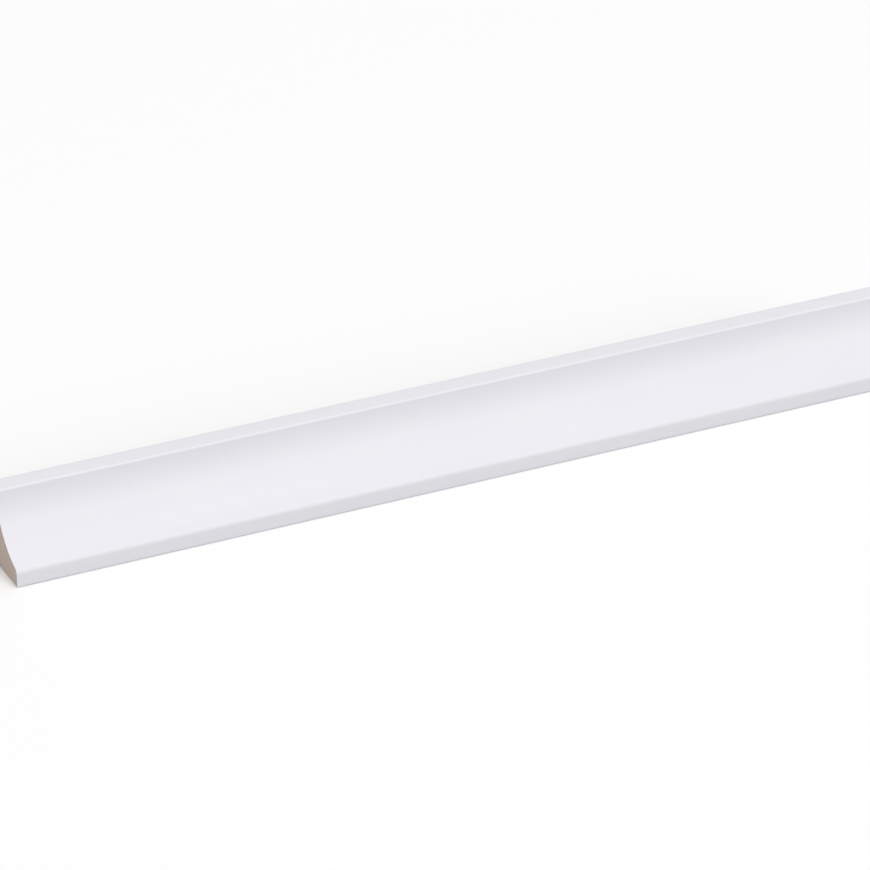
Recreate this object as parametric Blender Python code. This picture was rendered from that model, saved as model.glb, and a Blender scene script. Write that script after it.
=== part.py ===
"""A cove moulding: one straight length of wood-fibre board profile, wrapped in white foil.

It lies as it is fitted along the foot of a wall: X runs along its length, -Y faces the room,
+Y is the side against the wall, and Z is up. Its underside is at Z = 0, and the origin is the
middle of the underside. Units are metres.
"""
import math

import bmesh
import bpy

# Overall size
LENGTH = 0.360
HEIGHT = 0.030
DEPTH = 0.025

# The face that shows: a blunt nose below, the hollow, and a narrow, almost level shelf on top
NOSE_HEIGHT = 0.0068
SHELF_DEPTH = 0.0080
SHELF_CROWN = 0.0003       # how far the shelf falls, in a very flat arc, from its back edge to the front
COVE_SAG = 0.0049          # how deep the hollow is below a straight line from nose to shelf

# Rounded edges
TOE_ROUND = 0.0006         # foot of the nose
NOSE_ROUND = 0.0023        # nose into the hollow
ARRIS_ROUND = 0.0008       # hollow into the shelf
BACK_EDGE_ROUND = 0.0006   # shelf into the wall side

# The two hidden sides, each milled back between the strips that touch floor and wall
RELIEF_DEPTH = 0.0012
RELIEF_SLOPE = math.radians(28.0)
FLOOR_RELIEF_FLAT = 0.0022
WALL_RELIEF_FLAT = 0.0085
HEEL_STRIP = 0.0030        # strip beside the back corner, on both hidden sides
CORNER_CHAMFER = 0.0020    # clears plaster and glue in the corner of the room

# Facets of the curved stretches
COVE_FACETS = 24
SHELF_FACETS = 4
ROUND_FACETS = 6

FOIL_WHITE = (0.84, 0.83, 0.86, 1.0)
FOIL_ROUGHNESS = 0.45


def clear_scene():
    for old in list(bpy.data.objects):
        bpy.data.objects.remove(old, do_unlink=True)


def direction(start, end):
    """Angle of the line from start to end."""
    return math.atan2(end[1] - start[1], end[0] - start[0])


def arc(centre, radius, first, last, facets):
    """Points of a round stretch, the short way from the first angle to the last."""
    sweep = (last - first + math.pi) % (2.0 * math.pi) - math.pi
    points = []
    for step in range(facets + 1):
        angle = first + sweep * step / facets
        points.append((centre[0] + radius * math.cos(angle),
                       centre[1] + radius * math.sin(angle)))
    return points


def meeting(left, left_radius, right, right_radius):
    """Upper point that is left_radius from one centre and right_radius from another."""
    apart = math.hypot(right[0] - left[0], right[1] - left[1])
    along = (apart ** 2 + left_radius ** 2 - right_radius ** 2) / (2.0 * apart)
    aside = math.sqrt(left_radius ** 2 - along ** 2)
    ux, uy = (right[0] - left[0]) / apart, (right[1] - left[1]) / apart
    points = [(left[0] + along * ux - turn * aside * uy, left[1] + along * uy + turn * aside * ux)
              for turn in (-1.0, 1.0)]
    return min(points, key=lambda point: abs(point[1] - HEIGHT))


def cove_circle():
    """Centre and radius of the hollow, which passes through the nose's and the shelf's edges."""
    run = DEPTH - SHELF_DEPTH
    rise = HEIGHT - NOSE_HEIGHT
    chord = math.hypot(run, rise)
    radius = (chord * chord / 4.0 + COVE_SAG * COVE_SAG) / (2.0 * COVE_SAG)
    reach = (radius - COVE_SAG) / chord
    return (run / 2.0 - rise * reach, NOSE_HEIGHT + rise / 2.0 + run * reach), radius


def relief(start, flat):
    """A shallow trapezoid: (distance along the side, depth into it) of its four corners."""
    run = RELIEF_DEPTH / math.tan(RELIEF_SLOPE)
    return [(start, 0.0),
            (start + run, RELIEF_DEPTH),
            (start + run + flat, RELIEF_DEPTH),
            (start + run + flat + run, 0.0)]


def section():
    """Outline as (distance back from the nose, height), from the toe over the face to the back."""
    hollow, radius = cove_circle()

    toe = (TOE_ROUND, TOE_ROUND)
    nose_height = hollow[1] - math.sqrt((radius + NOSE_ROUND) ** 2 - (NOSE_ROUND - hollow[0]) ** 2)
    nose = (NOSE_ROUND, nose_height)
    edge = (DEPTH - BACK_EDGE_ROUND, HEIGHT - BACK_EDGE_ROUND)
    width = SHELF_DEPTH - BACK_EDGE_ROUND
    crown_radius = (width * width + SHELF_CROWN * SHELF_CROWN) / (2.0 * SHELF_CROWN)
    crown = (edge[0], HEIGHT - crown_radius)
    arris = meeting(hollow, radius + ARRIS_ROUND, crown, crown_radius - ARRIS_ROUND)

    front, up, back, down = math.pi, math.pi / 2.0, 0.0, -math.pi / 2.0
    points = arc(toe, TOE_ROUND, down, front, ROUND_FACETS)
    points += arc(nose, NOSE_ROUND, front, direction(nose, hollow), ROUND_FACETS)
    points += arc(hollow, radius, direction(hollow, nose), direction(hollow, arris), COVE_FACETS)[1:-1]
    points += arc(arris, ARRIS_ROUND, direction(arris, hollow), direction(crown, arris), ROUND_FACETS)
    points += arc(crown, crown_radius, direction(crown, arris), up, SHELF_FACETS)[1:-1]
    points += arc(edge, BACK_EDGE_ROUND, up, back, ROUND_FACETS)

    heel = CORNER_CHAMFER + HEEL_STRIP
    for height, depth in reversed(relief(heel, WALL_RELIEF_FLAT)):
        points.append((DEPTH - depth, height))
    points.append((DEPTH, CORNER_CHAMFER))
    points.append((DEPTH - CORNER_CHAMFER, 0.0))
    for distance, depth in relief(heel, FLOOR_RELIEF_FLAT):
        points.append((DEPTH - distance, depth))
    return points


def foil_material():
    material = bpy.data.materials.new("white_foil")
    material.use_nodes = True
    shader = material.node_tree.nodes["Principled BSDF"]
    shader.inputs["Base Color"].default_value = FOIL_WHITE
    shader.inputs["Roughness"].default_value = FOIL_ROUGHNESS
    shader.inputs["Metallic"].default_value = 0.0
    material.diffuse_color = FOIL_WHITE
    return material


def moulding():
    """The section, cut square at both ends."""
    mesh = bpy.data.meshes.new("cove_moulding")
    shape = bmesh.new()
    left = [shape.verts.new((-LENGTH / 2.0, back - DEPTH / 2.0, up)) for back, up in section()]
    end = shape.faces.new(left)
    swept = bmesh.ops.extrude_face_region(shape, geom=[end], use_keep_orig=True)
    right = [part for part in swept["geom"] if isinstance(part, bmesh.types.BMVert)]
    bmesh.ops.translate(shape, verts=right, vec=(LENGTH, 0.0, 0.0))
    bmesh.ops.recalc_face_normals(shape, faces=shape.faces)
    shape.to_mesh(mesh)
    shape.free()
    mesh.shade_smooth()
    mesh.set_sharp_from_angle(angle=math.radians(25.0))
    mesh.materials.append(foil_material())
    body = bpy.data.objects.new("cove_moulding", mesh)
    bpy.context.scene.collection.objects.link(body)
    return body


clear_scene()
moulding()
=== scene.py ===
import math

import bmesh
import bpy
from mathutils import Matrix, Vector, noise


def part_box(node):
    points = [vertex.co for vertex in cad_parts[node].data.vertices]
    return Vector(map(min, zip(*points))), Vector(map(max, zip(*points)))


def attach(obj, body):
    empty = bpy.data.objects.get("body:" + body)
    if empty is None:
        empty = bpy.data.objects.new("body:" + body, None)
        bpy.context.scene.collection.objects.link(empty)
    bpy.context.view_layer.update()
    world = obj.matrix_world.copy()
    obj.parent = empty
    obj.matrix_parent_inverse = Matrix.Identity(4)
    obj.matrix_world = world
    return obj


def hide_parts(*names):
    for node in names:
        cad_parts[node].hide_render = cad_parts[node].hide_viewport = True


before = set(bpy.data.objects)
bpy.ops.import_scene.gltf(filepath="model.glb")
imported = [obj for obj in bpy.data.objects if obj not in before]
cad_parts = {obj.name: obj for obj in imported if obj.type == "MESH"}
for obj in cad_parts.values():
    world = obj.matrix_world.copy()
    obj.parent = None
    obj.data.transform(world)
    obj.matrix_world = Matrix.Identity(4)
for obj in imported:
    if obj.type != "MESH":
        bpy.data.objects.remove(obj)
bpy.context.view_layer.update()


# The core is the moulding itself: a straight length of fine fibreboard, run through a moulder that
# cut the hollow and milled back the two hidden sides, then sawn square at both ends.
# It stays bare on those hidden sides and on the sawn ends.
MM = 0.001
LOW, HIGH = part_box("cove_moulding")
LENGTH = HIGH.x - LOW.x
DEPTH = HIGH.y - LOW.y
HEIGHT = HIGH.z - LOW.z

NOSE_HEIGHT = 6.8 * MM
SHELF_DEPTH = 8.0 * MM
SHELF_CROWN = 0.3 * MM
COVE_SAG = 4.9 * MM
TOE_ROUND = 0.6 * MM
NOSE_ROUND = 2.3 * MM
ARRIS_ROUND = 0.8 * MM
BACK_EDGE_ROUND = 0.6 * MM

RELIEF_DEPTH = 1.2 * MM
RELIEF_SLOPE = math.radians(28.0)
FLOOR_RELIEF_FLAT = 2.2 * MM
WALL_RELIEF_FLAT = 8.5 * MM
HEEL_STRIP = 3.0 * MM
CORNER_CHAMFER = 2.0 * MM
MILLED_EDGE_ROUND = 0.25 * MM

FOIL_THICKNESS = 0.2 * MM
FOIL_ON_FLOOR_SIDE = 8.0 * MM      # how far the foil is turned under, from the nose
FOIL_ON_WALL_SIDE = 7.0 * MM       # how far it is turned down behind, from the top
SAWN_SET_BACK = 0.25 * MM          # the fibres tear a little deeper than the foil's cut edge

END_FACING = 0.8                   # how squarely a face looks along X if it is part of a sawn end
SAWN_GRID = 0.40 * MM              # cells of the sawn ends' relief
SNAP = 0.02 * MM                   # a grid line this near a corner goes through it
WELD = 0.002 * MM
TORN_DEPTH = 0.09 * MM             # pits where bundles of fibres were pulled out
TORN_SIZE = 1.1 * MM
TORN_ROUGHNESS = 0.6
TOOTH_DEPTH = 0.035 * MM           # arcs that the saw's teeth leave
TOOTH_PITCH = 1.7 * MM
BLADE_CENTRE = (-62.0 * MM, 118.0 * MM)     # in the end's plane, as (Y, Z)
WAVE_PERIOD = math.pi / 10.0       # distance from one band of a wave texture to the next, at scale 1


def direction(start, end):
    """Angle of the line from start to end."""
    return math.atan2(end[1] - start[1], end[0] - start[0])


def arc(centre, radius, first, last, facets):
    """Points of a round stretch, the short way from the first angle to the last."""
    sweep = (last - first + math.pi) % (2.0 * math.pi) - math.pi
    angles = [first + sweep * step / facets for step in range(facets + 1)]
    return [(centre[0] + radius * math.cos(a), centre[1] + radius * math.sin(a)) for a in angles]


def straight(start, end, pieces):
    """Points along a straight stretch, without its ends."""
    return [(start[0] + (end[0] - start[0]) * step / pieces, start[1] + (end[1] - start[1]) * step / pieces)
            for step in range(1, pieces)]


def meeting(left, left_radius, right, right_radius):
    """Upper point that is left_radius from one centre and right_radius from another."""
    apart = math.hypot(right[0] - left[0], right[1] - left[1])
    along = (apart ** 2 + left_radius ** 2 - right_radius ** 2) / (2.0 * apart)
    aside = math.sqrt(left_radius ** 2 - along ** 2)
    ux, uy = (right[0] - left[0]) / apart, (right[1] - left[1]) / apart
    points = [(left[0] + along * ux - turn * aside * uy, left[1] + along * uy + turn * aside * ux)
              for turn in (-1.0, 1.0)]
    return min(points, key=lambda point: abs(point[1] - HEIGHT))


def face_outline(inset):
    """The face in section as (distance back from the nose, height), from the foil's edge on the
    floor side to its edge on the wall side; inset 0 is the foil's outside, and more is deeper."""
    run = DEPTH - SHELF_DEPTH
    rise = HEIGHT - NOSE_HEIGHT
    chord = math.hypot(run, rise)
    radius = (chord * chord / 4.0 + COVE_SAG * COVE_SAG) / (2.0 * COVE_SAG)
    reach = (radius - COVE_SAG) / chord
    hollow = (run / 2.0 - rise * reach, NOSE_HEIGHT + rise / 2.0 + run * reach)
    toe = (TOE_ROUND, TOE_ROUND)
    nose = (NOSE_ROUND, hollow[1] - math.sqrt((radius + NOSE_ROUND) ** 2 - (NOSE_ROUND - hollow[0]) ** 2))
    edge = (DEPTH - BACK_EDGE_ROUND, HEIGHT - BACK_EDGE_ROUND)
    width = SHELF_DEPTH - BACK_EDGE_ROUND
    crown_radius = (width * width + SHELF_CROWN * SHELF_CROWN) / (2.0 * SHELF_CROWN)
    crown = (edge[0], HEIGHT - crown_radius)
    arris = meeting(hollow, radius + ARRIS_ROUND, crown, crown_radius - ARRIS_ROUND)

    # The last value of each arc or straight stretch is the number of flat strips that make it.
    front, up, back, down = math.pi, math.pi / 2.0, 0.0, -math.pi / 2.0
    rounds = [arc(toe, TOE_ROUND - inset, down, front, 8),
              arc(nose, NOSE_ROUND - inset, front, direction(nose, hollow), 10),
              arc(hollow, radius + inset, direction(hollow, nose), direction(hollow, arris), 60)[1:-1],
              arc(arris, ARRIS_ROUND - inset, direction(arris, hollow), direction(crown, arris), 10),
              arc(crown, crown_radius - inset, direction(crown, arris), up, 12)[1:-1],
              arc(edge, BACK_EDGE_ROUND - inset, up, back, 6)]
    under = (FOIL_ON_FLOOR_SIDE, inset)
    behind = (DEPTH - inset, HEIGHT - FOIL_ON_WALL_SIDE)
    points = [under] + straight(under, rounds[0][0], 10)
    points += rounds[0] + straight(rounds[0][-1], rounds[1][0], 6)
    for stretch in rounds[1:]:
        points += stretch
    points += straight(points[-1], behind, 10) + [behind]
    return points


def bare_outline():
    """The hidden sides in section, from the foil's edge down the wall side and along the floor side."""
    run = RELIEF_DEPTH / math.tan(RELIEF_SLOPE)
    heel = CORNER_CHAMFER + HEEL_STRIP
    skin = FOIL_THICKNESS

    def relief(flat):
        return [(heel, skin), (heel + run, RELIEF_DEPTH),
                (heel + run + flat, RELIEF_DEPTH), (heel + run + flat + run, skin)]

    wall = [(DEPTH - depth, height) for height, depth in reversed(relief(WALL_RELIEF_FLAT))]
    floor = [(DEPTH - distance, depth) for distance, depth in relief(FLOOR_RELIEF_FLAT)]
    return wall + [(DEPTH - skin, CORNER_CHAMFER), (DEPTH - CORNER_CHAMFER, skin)] + floor


def section_mesh(name, outline, rounded=()):
    """A closed ring of edges in the XY plane; the points in rounded get the milled edges' radius."""
    mesh = bpy.data.meshes.new(name)
    ring = [(LOW.y + back, LOW.z + up, 0.0) for back, up in outline]
    mesh.from_pydata(ring, [(i, (i + 1) % len(ring)) for i in range(len(ring))], [])
    easing = mesh.attributes.new("easing", "FLOAT", "POINT")
    for index in rounded:
        easing.data[index].value = MILLED_EDGE_ROUND
    return mesh


def add(tree, kind, inputs=None, **settings):
    """Adds a node, gives it its settings, and fills its inputs with values or other nodes' outputs."""
    made = tree.nodes.new(kind)
    for name, value in settings.items():
        setattr(made, name, value)
    for socket, value in (inputs or {}).items():
        if isinstance(value, bpy.types.NodeSocket):
            tree.links.new(value, made.inputs[socket])
        else:
            made.inputs[socket].default_value = value
    return made


def geometry_tree(name, sizes):
    """An empty tree with a geometry input and output, and one named input for each size."""
    tree = bpy.data.node_groups.new(name, "GeometryNodeTree")
    tree.interface.new_socket("Geometry", in_out="INPUT", socket_type="NodeSocketGeometry")
    tree.interface.new_socket("Geometry", in_out="OUTPUT", socket_type="NodeSocketGeometry")
    for label, kind in sizes.items():
        tree.interface.new_socket(label, in_out="INPUT", socket_type="NodeSocket" + kind)
    return tree, add(tree, "NodeGroupInput").outputs


def grow(name, start, tree, values):
    """Runs a tree on a mesh and keeps the result as a plain mesh object."""
    piece = bpy.data.objects.new(name, start)
    bpy.context.scene.collection.objects.link(piece)
    growth = piece.modifiers.new("growth", "NODES")
    growth.node_group = tree
    for socket in tree.interface.items_tree:
        if socket.in_out == "INPUT" and socket.name in values:
            growth[socket.identifier] = values[socket.name]
    scene_now = bpy.context.evaluated_depsgraph_get()
    mesh = bpy.data.meshes.new_from_object(piece.evaluated_get(scene_now), depsgraph=scene_now)
    mesh.name = name
    piece.modifiers.remove(growth)
    piece.data = mesh
    return piece


def smooth(piece, sharp_from):
    """Welds the sweep's seams, turns the faces outwards and smooths all but the sharp edges."""
    shape = bmesh.new()
    shape.from_mesh(piece.data)
    bmesh.ops.remove_doubles(shape, verts=shape.verts, dist=WELD)
    bmesh.ops.recalc_face_normals(shape, faces=shape.faces)
    shape.to_mesh(piece.data)
    shape.free()
    piece.data.shade_smooth()
    piece.data.set_sharp_from_angle(angle=math.radians(sharp_from))


def saw_ends(piece):
    """Cuts both end faces into a fine grid and sinks it by the teeth's arcs and by torn pits."""
    shape = bmesh.new()
    shape.from_mesh(piece.data)
    ends = [face for face in shape.faces if abs(face.normal.x) > END_FACING]
    rims = {edge for face in ends for edge in face.edges}
    cut = ends + list(rims) + list({corner for edge in rims for corner in edge.verts})
    for axis, low, high in ((1, LOW.y, HIGH.y), (2, LOW.z, HIGH.z)):
        for step in range(1, int((high - low) / SAWN_GRID)):
            point, normal = Vector((0.0, 0.0, 0.0)), Vector((0.0, 0.0, 0.0))
            point[axis], normal[axis] = low + step * SAWN_GRID, 1.0
            cut = bmesh.ops.bisect_plane(
                shape, geom=cut, dist=SNAP, plane_co=point, plane_no=normal)["geom"]
    for corner in {v for v in cut if isinstance(v, bmesh.types.BMVert)}:
        if all(abs(face.normal.x) > END_FACING for face in corner.link_faces):
            side = math.copysign(1.0, corner.co.x)
            torn = 0.5 + 0.5 * noise.fractal(corner.co / TORN_SIZE, TORN_ROUGHNESS, 2.0, 3)
            from_blade = math.hypot(corner.co.y - BLADE_CENTRE[0], corner.co.z - BLADE_CENTRE[1])
            tooth = 0.5 + 0.5 * math.sin(2.0 * math.pi * from_blade / TOOTH_PITCH)
            depth = TORN_DEPTH * min(max(torn, 0.0), 1.0) + TOOTH_DEPTH * tooth
            corner.co.x = side * (LENGTH / 2.0 - SAWN_SET_BACK - depth)
    shape.to_mesh(piece.data)
    shape.free()


# A length drawn from a section: the ring of edges is swept along X, its faces are set in by slow
# shallow waves, and the rims of both ends are set in unevenly, as a saw leaves them.
drawn, given = geometry_tree("drawn_length", {
    "Length": "Float", "Stations": "Int", "Wave Depth": "Float", "Wave Length": "Float",
    "Ragged Depth": "Float", "Ragged Size": "Float", "Sides": "Material", "Ends": "Material"})
half = add(drawn, "ShaderNodeMath", {0: given["Length"], 1: 0.5}, operation="MULTIPLY").outputs[0]
minus_half = add(drawn, "ShaderNodeMath", {0: given["Length"], 1: -0.5}, operation="MULTIPLY").outputs[0]
ring = add(drawn, "GeometryNodeMeshToCurve", {"Mesh": given["Geometry"]}).outputs["Curve"]
easing = add(drawn, "GeometryNodeInputNamedAttribute", {"Name": "easing"}, data_type="FLOAT").outputs[0]
eased = add(drawn, "GeometryNodeFilletCurve",
            {"Curve": ring, "Radius": easing, "Limit Radius": True, "Count": 3}, mode="POLY")
route = add(drawn, "GeometryNodeCurvePrimitiveLine", {
    "Start": add(drawn, "ShaderNodeCombineXYZ", {"X": minus_half}).outputs[0],
    "End": add(drawn, "ShaderNodeCombineXYZ", {"X": half}).outputs[0]})
stations = add(drawn, "GeometryNodeResampleCurve",
               {"Curve": route.outputs["Curve"], "Count": given["Stations"]})
level = add(drawn, "GeometryNodeSetCurveNormal", {"Curve": stations.outputs["Curve"]}, mode="Z_UP")
upright = add(drawn, "GeometryNodeSetCurveTilt", {"Curve": level.outputs["Curve"], "Tilt": math.pi})
swept = add(drawn, "GeometryNodeCurveToMesh", {
    "Curve": upright.outputs["Curve"], "Profile Curve": eased.outputs["Curve"], "Fill Caps": True})
turned_out = add(drawn, "GeometryNodeFlipFaces", {"Mesh": swept.outputs["Mesh"]})

place = add(drawn, "GeometryNodeInputPosition").outputs[0]
slow = add(drawn, "ShaderNodeMath", {0: 1.0, 1: given["Wave Length"]}, operation="DIVIDE").outputs[0]
waves = add(drawn, "ShaderNodeTexNoise", {"Vector": place, "Scale": slow, "Detail": 1.0})
inwards = add(drawn, "ShaderNodeMath",
              {0: waves.outputs[0], 1: given["Wave Depth"]}, operation="MULTIPLY").outputs[0]
out = add(drawn, "GeometryNodeInputNormal").outputs[0]
dip = add(drawn, "ShaderNodeVectorMath", {0: out, "Scale": inwards}, operation="SCALE").outputs[0]
waved = add(drawn, "GeometryNodeSetPosition", {
    "Geometry": turned_out.outputs["Mesh"],
    "Offset": add(drawn, "ShaderNodeVectorMath", {0: dip, "Scale": -1.0}, operation="SCALE").outputs[0]})

along = add(drawn, "ShaderNodeSeparateXYZ", {"Vector": place}).outputs["X"]
from_middle = add(drawn, "ShaderNodeMath", {0: along}, operation="ABSOLUTE").outputs[0]
RIM_REACH = 0.05 * MM
rim = add(drawn, "ShaderNodeMath", {0: half, 1: RIM_REACH}, operation="SUBTRACT").outputs[0]
at_rim = add(drawn, "FunctionNodeCompare", {0: from_middle, 1: rim},
             data_type="FLOAT", operation="GREATER_THAN").outputs[0]
quick = add(drawn, "ShaderNodeMath", {0: 1.0, 1: given["Ragged Size"]}, operation="DIVIDE").outputs[0]
tears = add(drawn, "ShaderNodeTexNoise", {"Vector": place, "Scale": quick, "Detail": 3.0}).outputs[0]
torn = add(drawn, "ShaderNodeMath", {0: tears, 1: given["Ragged Depth"]}, operation="MULTIPLY").outputs[0]
side = add(drawn, "ShaderNodeMath", {0: along}, operation="SIGN").outputs[0]
back_in = add(drawn, "ShaderNodeMath", {0: torn, 1: side}, operation="MULTIPLY").outputs[0]
reversed_in = add(drawn, "ShaderNodeMath", {0: back_in, 1: -1.0}, operation="MULTIPLY").outputs[0]
ragged = add(drawn, "GeometryNodeSetPosition", {
    "Geometry": waved.outputs["Geometry"], "Selection": at_rim,
    "Offset": add(drawn, "ShaderNodeCombineXYZ", {"X": reversed_in}).outputs[0]})

sided = add(drawn, "GeometryNodeSetMaterial",
            {"Geometry": ragged.outputs["Geometry"], "Material": given["Sides"]})
facing = add(drawn, "ShaderNodeMath", {
    0: add(drawn, "ShaderNodeSeparateXYZ", {"Vector": out}).outputs["X"]}, operation="ABSOLUTE").outputs[0]
is_end = add(drawn, "FunctionNodeCompare", {0: facing, 1: END_FACING},
             data_type="FLOAT", operation="GREATER_THAN").outputs[0]
whole = add(drawn, "GeometryNodeRealizeInstances", {"Geometry": sided.outputs["Geometry"]})
ended = add(drawn, "GeometryNodeSetMaterial", {
    "Geometry": whole.outputs["Geometry"], "Selection": is_end, "Material": given["Ends"]})
add(drawn, "NodeGroupOutput", {"Geometry": ended.outputs["Geometry"]})


def linear(hex_colour, alpha=1.0):
    """An sRGB hex colour as the linear values that a shader takes."""
    values = [int(hex_colour[i:i + 2], 16) / 255.0 for i in (1, 3, 5)]
    return [v / 12.92 if v <= 0.04045 else ((v + 0.055) / 1.055) ** 2.4 for v in values] + [alpha]


def surface(name, **constants):
    """A material with its Principled shader set, and the position on the piece in metres."""
    material = bpy.data.materials.new(name)
    material.use_nodes = True
    tree = material.node_tree
    shader = tree.nodes["Principled BSDF"]
    for label, value in constants.items():
        shader.inputs[label.replace("_", " ")].default_value = value
    position = add(tree, "ShaderNodeTexCoord").outputs["Object"]
    return material, tree, shader, position


# Sawn fibreboard: wood ground to fibres and pressed with resin. Across the saw's path it is matt,
# grey brown and finely speckled, with faint layers and the arcs of the blade's teeth.
SPECKLE_SIZE = 0.35 * MM
BUNDLE_SIZE = 1.1 * MM
sawn, tree, shader, position = surface("sawn_fibreboard", Roughness=0.9, IOR=1.45)
speckle = add(tree, "ShaderNodeTexNoise", {
    "Vector": position, "Scale": 1.0 / SPECKLE_SIZE, "Detail": 4.0, "Roughness": 0.65})
tone = add(tree, "ShaderNodeValToRGB", {"Fac": speckle.outputs[0]})
tone.color_ramp.elements[0].position = 0.30
tone.color_ramp.elements[0].color = linear("#A48E83")
tone.color_ramp.elements[1].position = 0.70
tone.color_ramp.elements[1].color = linear("#F0E0D2")
bundles = add(tree, "ShaderNodeTexNoise", {
    "Vector": add(tree, "ShaderNodeMapping", {"Vector": position, "Scale": (1.0, 1.0, 0.28)}).outputs[0],
    "Scale": 1.0 / BUNDLE_SIZE, "Detail": 3.0})
layered = add(tree, "ShaderNodeMix", {
    "Factor": 0.35, "A": tone.outputs[0],
    "B": add(tree, "ShaderNodeMix", {
        "Factor": bundles.outputs[0], "A": linear("#C1AD9D"), "B": linear("#DBCAC1")},
        data_type="RGBA").outputs["Result"]}, data_type="RGBA")
tree.links.new(layered.outputs["Result"], shader.inputs["Base Color"])
around_blade = add(tree, "ShaderNodeMapping", {
    "Vector": position, "Location": (0.0, -BLADE_CENTRE[0], -BLADE_CENTRE[1])})
teeth = add(tree, "ShaderNodeTexWave", {
    "Vector": around_blade.outputs[0], "Scale": WAVE_PERIOD / TOOTH_PITCH, "Distortion": 0.6, "Detail": 2.0},
    wave_type="RINGS", rings_direction="X")
torn_up = add(tree, "ShaderNodeBump", {
    "Height": speckle.outputs[0], "Strength": 0.55, "Distance": 0.10 * MM})
scored = add(tree, "ShaderNodeBump", {
    "Height": teeth.outputs[1], "Strength": 0.5, "Distance": 0.04 * MM, "Normal": torn_up.outputs[0]})
tree.links.new(scored.outputs[0], shader.inputs["Normal"])

# Milled fibreboard: the same board, planed by turning knives, so it is smoother and a little
# darker, with fine streaks along the length and shallow ripples across it.
STREAK_SIZE = 0.5 * MM
FLECK_SIZE = 0.45 * MM
KNIFE_PITCH = 3.14 * MM
milled, tree, shader, position = surface("milled_fibreboard", Roughness=0.78, IOR=1.45)
streaks = add(tree, "ShaderNodeTexNoise", {
    "Vector": add(tree, "ShaderNodeMapping", {"Vector": position, "Scale": (0.22, 1.0, 1.0)}).outputs[0],
    "Scale": 1.0 / STREAK_SIZE, "Detail": 4.0})
flecks = add(tree, "ShaderNodeTexNoise", {
    "Vector": position, "Scale": 1.0 / FLECK_SIZE, "Detail": 4.0, "Roughness": 0.6})
grain = add(tree, "ShaderNodeMix", {"Factor": 0.70, "A": streaks.outputs[0], "B": flecks.outputs[0]})
tone = add(tree, "ShaderNodeValToRGB", {"Fac": grain.outputs[0]})
tone.color_ramp.elements[0].position = 0.36
tone.color_ramp.elements[0].color = linear("#A89382")
tone.color_ramp.elements[1].position = 0.64
tone.color_ramp.elements[1].color = linear("#C9B5A4")
tree.links.new(tone.outputs[0], shader.inputs["Base Color"])
knives = add(tree, "ShaderNodeTexWave", {
    "Vector": position, "Scale": WAVE_PERIOD / KNIFE_PITCH, "Distortion": 0.4},
    wave_type="BANDS", bands_direction="X")
fibrous = add(tree, "ShaderNodeBump", {
    "Height": grain.outputs[0], "Strength": 0.35, "Distance": 0.06 * MM})
rippled = add(tree, "ShaderNodeBump", {
    "Height": knives.outputs[1], "Strength": 0.35, "Distance": 0.04 * MM, "Normal": fibrous.outputs[0]})
tree.links.new(rippled.outputs[0], shader.inputs["Normal"])

inner_face = face_outline(FOIL_THICKNESS)
hidden = bare_outline()
corners = range(len(inner_face), len(inner_face) + len(hidden))
core = grow("fibreboard_core", section_mesh("core_section", inner_face + hidden, corners), drawn, {
    "Length": LENGTH - 2.0 * SAWN_SET_BACK, "Stations": 121, "Wave Depth": 0.0, "Wave Length": 20.0 * MM,
    "Ragged Depth": 0.12 * MM, "Ragged Size": 0.8 * MM, "Sides": milled, "Ends": sawn})
saw_ends(core)
smooth(core, 30.0)
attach(core, "root")
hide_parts("cove_moulding")


# The skin is a thin white plastic foil, glued hot over the face and turned round both edges onto
# the hidden sides. It follows the board closely, so it shows slow waves but no wrinkles.
TINT_SIZE = 12.0 * MM
EMBOSS_SIZE = 0.5 * MM             # drawn coarser than the real grain, so that it shows
FIBRE_SIZE = 3.5 * MM              # the board's unevenness, which shows through the foil
foil, tree, shader, position = surface("satin_white_foil", Roughness=0.45, IOR=1.42)
drift = add(tree, "ShaderNodeTexNoise", {
    "Vector": add(tree, "ShaderNodeMapping", {"Vector": position, "Scale": (0.3, 1.0, 1.0)}).outputs[0],
    "Scale": 1.0 / TINT_SIZE, "Detail": 2.0})
tint = add(tree, "ShaderNodeMix", {
    "Factor": drift.outputs[0], "A": linear("#E6E4EA"), "B": linear("#E9E8ED")}, data_type="RGBA")
tree.links.new(tint.outputs["Result"], shader.inputs["Base Color"])
emboss = add(tree, "ShaderNodeTexNoise", {
    "Vector": position, "Scale": 1.0 / EMBOSS_SIZE, "Detail": 2.0})
gloss = add(tree, "ShaderNodeMapRange", {
    "Value": emboss.outputs[0], "To Min": 0.40, "To Max": 0.50})
tree.links.new(gloss.outputs[0], shader.inputs["Roughness"])
pressed = add(tree, "ShaderNodeBump", {
    "Height": emboss.outputs[0], "Strength": 0.15, "Distance": 0.02 * MM})
unevenness = add(tree, "ShaderNodeTexNoise", {
    "Vector": add(tree, "ShaderNodeMapping", {"Vector": position, "Scale": (0.45, 1.0, 1.0)}).outputs[0],
    "Scale": 1.0 / FIBRE_SIZE, "Detail": 2.0})
showing = add(tree, "ShaderNodeBump", {
    "Height": unevenness.outputs[0], "Strength": 0.5, "Distance": 0.08 * MM, "Normal": pressed.outputs[0]})
tree.links.new(showing.outputs[0], shader.inputs["Normal"])

outside = face_outline(0.0)
skin_ring = outside + list(reversed(inner_face))
skin = grow("white_foil", section_mesh("foil_section", skin_ring), drawn, {
    "Length": LENGTH, "Stations": 181, "Wave Depth": 0.06 * MM, "Wave Length": 14.0 * MM,
    "Ragged Depth": 0.22 * MM, "Ragged Size": 0.9 * MM, "Sides": foil, "Ends": foil})
smooth(skin, 40.0)
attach(skin, "root")
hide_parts("cove_moulding")


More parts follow.
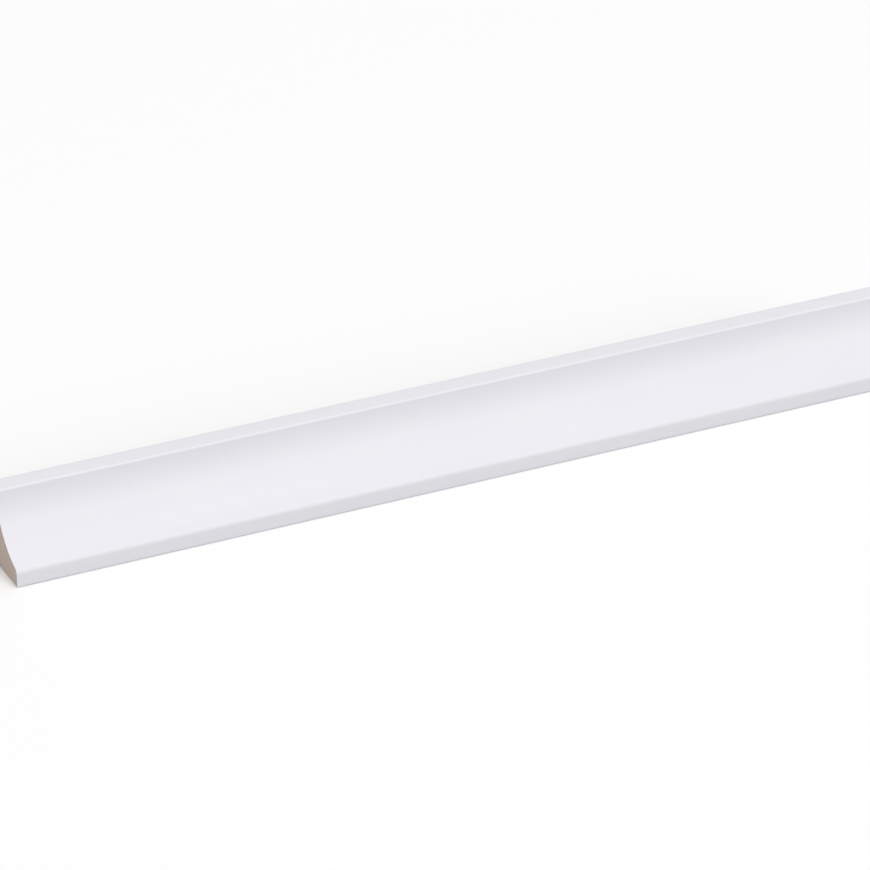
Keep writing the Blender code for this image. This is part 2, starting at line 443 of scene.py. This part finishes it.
# The floor is a plain sheet of white paper as the lens sees it, over a pale grey table that the
# light meets, because white paper would light the nose until its edge was lost. The light is a
# white studio with two large soft boxes, one almost overhead and one low in front.
SHEET_REACH = 6.0
TABLE_DROP = 0.2 * MM
BOX_SIDE = 6.0


def sheet(name, height, hex_colour, glow=0.0):
    """A wide, matt, level sheet that isn't part of the object."""
    material, _, shader, _ = surface(name, Roughness=0.9, Emission_Strength=glow)
    shader.inputs["Base Color"].default_value = linear(hex_colour)
    shader.inputs["Emission Color"].default_value = linear("#FFFFFF")
    mesh = bpy.data.meshes.new(name)
    corners = [(x * SHEET_REACH, y * SHEET_REACH, height) for x, y in ((-1, -1), (1, -1), (1, 1), (-1, 1))]
    mesh.from_pydata(corners, [], [(0, 1, 2, 3)])
    mesh.materials.append(material)
    made = bpy.data.objects.new(name, mesh)
    bpy.context.scene.collection.objects.link(made)
    return made


paper = sheet("white_paper", LOW.z, "#FCFCFC", glow=0.02)
paper.visible_diffuse = False
paper.visible_glossy = False
paper.visible_shadow = False
table = sheet("grey_table", LOW.z - TABLE_DROP, "#D0D0D0")
table.visible_camera = False

world = bpy.data.worlds.new("studio")
bpy.context.scene.world = world
world.use_nodes = True
world.node_tree.nodes["Background"].inputs["Color"].default_value = linear("#FFFFFF")
world.node_tree.nodes["Background"].inputs["Strength"].default_value = 0.662


def soft_box(name, place, watts):
    """A square area light at a place, turned to the middle of the moulding."""
    light = bpy.data.lights.new(name, "AREA")
    light.shape = "SQUARE"
    light.size = BOX_SIDE
    light.energy = watts
    lamp = bpy.data.objects.new(name, light)
    bpy.context.scene.collection.objects.link(lamp)
    lamp.location = place
    lamp.rotation_euler = (Vector((0.0, 0.0, 0.0)) - Vector(place)).to_track_quat("-Z", "Y").to_euler()


soft_box("overhead_soft_box", (0.36, -2.06, 11.82), 356.0)
soft_box("front_soft_box", (3.96, -9.82, 5.64), 357.0)

# The camera looks down along the moulding from the left of its nose, through a long lens. Its
# turn, drop and focal length come from the photograph's vanishing point and the cut end.
PHOTO_SIDE = 870.0
SENSOR = 36.0
TURN = math.radians(25.88)
DROP = math.radians(27.63)
FOCAL_PX = 4791.0
NOSE_CORNER_PX = (17.1, 588.3)      # where the corner of nose, underside and left end would be
NOSE_CORNER = Vector((LOW.x, LOW.y, LOW.z))
HEIGHT_PX = 87.2                    # the moulding's height at the distance of that corner
METRES_PER_PX = HEIGHT / HEIGHT_PX
right = Vector((math.cos(TURN), -math.sin(TURN), 0.0))
ahead = Vector((math.sin(TURN) * math.cos(DROP), math.cos(TURN) * math.cos(DROP), -math.sin(DROP)))
above = right.cross(ahead)
across_px = NOSE_CORNER_PX[0] - PHOTO_SIDE / 2.0
up_px = PHOTO_SIDE / 2.0 - NOSE_CORNER_PX[1]
camera_data = bpy.data.cameras.new("camera")
camera_data.sensor_fit = "HORIZONTAL"
camera_data.sensor_width = SENSOR
camera_data.lens = FOCAL_PX / PHOTO_SIDE * SENSOR
camera_data.clip_end = 50.0
camera = bpy.data.objects.new("camera", camera_data)
bpy.context.scene.collection.objects.link(camera)
camera.location = NOSE_CORNER - METRES_PER_PX * (right * across_px + above * up_px + ahead * FOCAL_PX)
camera.rotation_euler = ahead.to_track_quat("-Z", "Y").to_euler()
bpy.context.scene.camera = camera
bpy.context.scene.view_settings.view_transform = "Standard"
